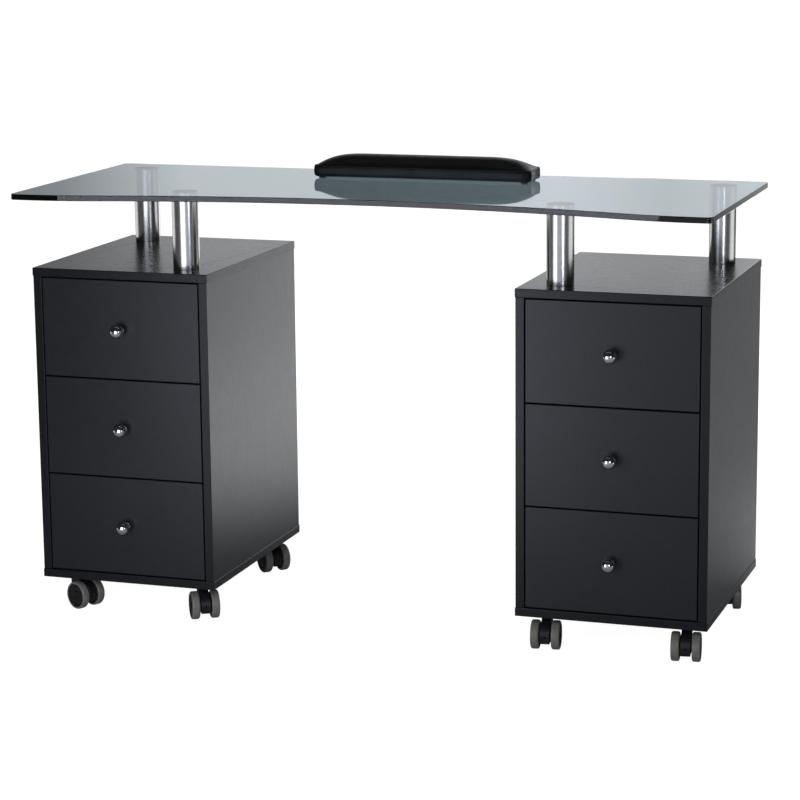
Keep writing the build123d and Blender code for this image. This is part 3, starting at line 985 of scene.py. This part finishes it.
BACKDROP_Y = 2.6
BACKDROP_HALF = 4.0
BACKDROP_HEIGHT = 2.4
BRIGHTEST = 2.8
COOL = (0.955, 0.985, 1.015)
COOLER = (0.925, 0.985, 1.12)
# Pairs of (x, brightness). The glass and the cabinet tops mirror the grey stretch, and the cabinets'
# sides and the posts mirror the bright strip and what lies right of it.
BACKDROP_STOPS = (
    (-4.0, 0.10), (-2.3, 0.25), (-1.9, 0.38), (-1.5, 0.82), (-0.9, 0.86), (-0.4, 0.97),
    (-0.1, 0.80), (0.15, 0.90), (0.20, 0.90), (0.29, 2.8), (0.62, 2.8), (0.75, 0.80),
    (1.05, 0.60), (1.25, 0.10), (4.0, 0.10),
)
FLOOR_STOPS = ((-4.0, 0.05), (-0.2, 0.05), (0.10, 1.9), (0.60, 1.9), (0.78, 0.12), (4.0, 0.10))
SIDE_FLOOR_STOPS = ((-4.0, 0.9), (-2.1, 0.9), (-1.5, 0.0), (1.5, 0.0), (2.1, 0.9), (4.0, 0.9))
FLOOR_FADE = (0.3, 0.9)  # from dark to lit along y
SIDE_FLOOR_FADE = (-0.9, -0.4)
FLOOR_HALF = 30
FLOOR_SEEN = 0.96

# How bright the surrounding room is as light and in reflections.
ROOM_GLOW = 0.16
ROOM_MIRRORED = 0.02

# Lamps: the front ones stand upright at one y, facing the table.
PANEL_Y = -1.3
FRONT_PANELS = {
    "left_panel": (-0.75, 0.0, 0.0, 0.9, 2.5),
    "middle_panel": (0.0, 0.75, 0.0, 0.9, 0.4),
    "right_panel": (1.0, 1.3, 0.45, 0.9, 8.0),
}
TOP_PANEL_PLACE = (0, 0.2, 2.6)
TOP_PANEL_AIM = (0, 0.201, 0)
TOP_PANEL_SIZE = (2.4, 1.4)
TOP_PANEL_BRIGHTNESS = 0.15


def place_axes(m):
    """The object coordinates' x and y."""
    split = m.add("ShaderNodeSeparateXYZ")
    m.join(m.place, split.inputs["Vector"])
    return split.outputs["X"], split.outputs["Y"]


def glow_across(m, x, stops):
    """How brightly a lit surface glows from left to right. stops are (x, brightness) pairs."""
    share = m.spread(x, 0.0, 1.0, -BACKDROP_HALF, BACKDROP_HALF)
    ramp = m.add("ShaderNodeValToRGB")
    elements = ramp.color_ramp.elements
    while len(elements) < len(stops):
        elements.new(0.5)
    for element, (where, brightness) in zip(elements, stops):
        element.position = (where + BACKDROP_HALF) / (2 * BACKDROP_HALF)
        element.color = (brightness / BRIGHTEST,) * 3 + (1,)
    m.join(share, ramp.inputs["Fac"])
    return m.maths("MULTIPLY", ramp.outputs["Color"], BRIGHTEST)


def floor_glow(m):
    """What reflections see in the floor: a lit stretch behind the table and one far out at each side."""
    x, y = place_axes(m)
    behind = m.maths("MULTIPLY", glow_across(m, x, FLOOR_STOPS), m.spread(y, 0.0, 1.0, *FLOOR_FADE))
    side_glow = glow_across(m, x, SIDE_FLOOR_STOPS)
    beside = m.maths("MULTIPLY", side_glow, m.spread(y, 0.0, 1.0, *SIDE_FLOOR_FADE))
    return m.maths("ADD", behind, beside)


def floor():
    """White to the camera apart from faint shadows, and unevenly lit in reflections."""
    bm = bmesh.new()
    bmesh.ops.create_grid(bm, x_segments=1, y_segments=1, size=FLOOR_HALF)
    obj = mesh_from("floor", bm, smooth=False)
    m = Nodes("pale_floor")
    m.surface(Roughness=0.9, Specular_IOR_Level=0.1)
    m.feed(m.blend(m.noise(3.0), (0.60, 0.60, 0.60), (0.62, 0.62, 0.62)), "Base Color")
    path = m.add("ShaderNodeLightPath")
    seen = m.maths("MAXIMUM", path.outputs["Is Camera Ray"], path.outputs["Is Transmission Ray"])
    strength = m.add("ShaderNodeMix", data_type="FLOAT")
    m.join(seen, strength.inputs["Factor"])
    m.join(floor_glow(m), strength.inputs["A"])
    strength.inputs["B"].default_value = FLOOR_SEEN
    m.feed(m.blend(seen, COOL, (1, 1, 1)), "Emission Color")
    m.feed(strength.outputs["Result"], "Emission Strength")
    obj.data.materials.append(m.material)


def backdrop():
    """A glowing wall behind the table that only reflections see."""
    bm = bmesh.new()
    half, height = BACKDROP_HALF, BACKDROP_HEIGHT
    corners = ((-half, 0), (half, 0), (half, height), (-half, height))
    bm.faces.new([bm.verts.new((x, BACKDROP_Y, z)) for x, z in corners])
    obj = mesh_from("backdrop", bm, smooth=False)
    m = Nodes("backdrop_glow")
    m.surface(Base_Color=(0, 0, 0, 1), Roughness=1.0, Specular_IOR_Level=0.0)
    m.shader.inputs["Emission Color"].default_value = (*COOL, 1)
    m.feed(glow_across(m, place_axes(m)[0], BACKDROP_STOPS), "Emission Strength")
    obj.data.materials.append(m.material)
    obj.visible_camera = False
    obj.visible_shadow = False


def white_background(tree):
    """A world background node of strength 1."""
    node = tree.nodes.new("ShaderNodeBackground")
    node.inputs["Color"].default_value = (1, 1, 1, 1)
    node.inputs["Strength"].default_value = 1.0
    return node


def world():
    """White to the camera; a dim grey room to everything else, and nearly black in reflections."""
    data = bpy.data.worlds.new("studio")
    bpy.context.scene.world = data
    data.use_nodes = True
    tree = data.node_tree
    tree.nodes.clear()
    seen, room = white_background(tree), white_background(tree)
    path = tree.nodes.new("ShaderNodeLightPath")
    dim = tree.nodes.new("ShaderNodeMapRange")
    dim.inputs["To Min"].default_value = ROOM_GLOW
    dim.inputs["To Max"].default_value = ROOM_MIRRORED
    tree.links.new(path.outputs["Is Glossy Ray"], dim.inputs["Value"])
    tree.links.new(dim.outputs["Result"], room.inputs["Strength"])
    mix = tree.nodes.new("ShaderNodeMixShader")
    tree.links.new(path.outputs["Is Camera Ray"], mix.inputs["Fac"])
    tree.links.new(room.outputs["Background"], mix.inputs[1])
    tree.links.new(seen.outputs["Background"], mix.inputs[2])
    output = tree.nodes.new("ShaderNodeOutputWorld")
    tree.links.new(mix.outputs["Shader"], output.inputs["Surface"])


def panel(name, place, aim, size, brightness, tone=(1, 1, 1)):
    """A soft rectangular studio light. size is (width, height), and the power follows from both."""
    data = bpy.data.lights.new(name, "AREA")
    data.shape = "RECTANGLE"
    data.size, data.size_y = size
    data.energy = math.pi * size[0] * size[1] * brightness
    data.color = tone
    obj = new_piece(name, data)
    way = Vector(aim) - Vector(place)
    obj.matrix_world = Matrix.Translation(place) @ way.to_track_quat("-Z", "Y").to_matrix().to_4x4()
    obj.visible_camera = False


def studio():
    """Upright panels in front, each (left, right, low, high, brightness), and a soft one overhead."""
    for name, (left, right, low, high, brightness) in FRONT_PANELS.items():
        place = Vector(((left + right) / 2, PANEL_Y, (low + high) / 2))
        panel(name, place, place + Vector((0, 1, 0)), (right - left, high - low), brightness, COOLER)
    panel("top_panel", TOP_PANEL_PLACE, TOP_PANEL_AIM, TOP_PANEL_SIZE, TOP_PANEL_BRIGHTNESS)
    bpy.context.scene.view_settings.view_transform = "Standard"


cad_finish("glass_top", "glass", GLASS_EDGE)
cabinet_boards()
drawers()
posts()
castors()
cushion()
floor()
backdrop()
world()
studio()
camera()
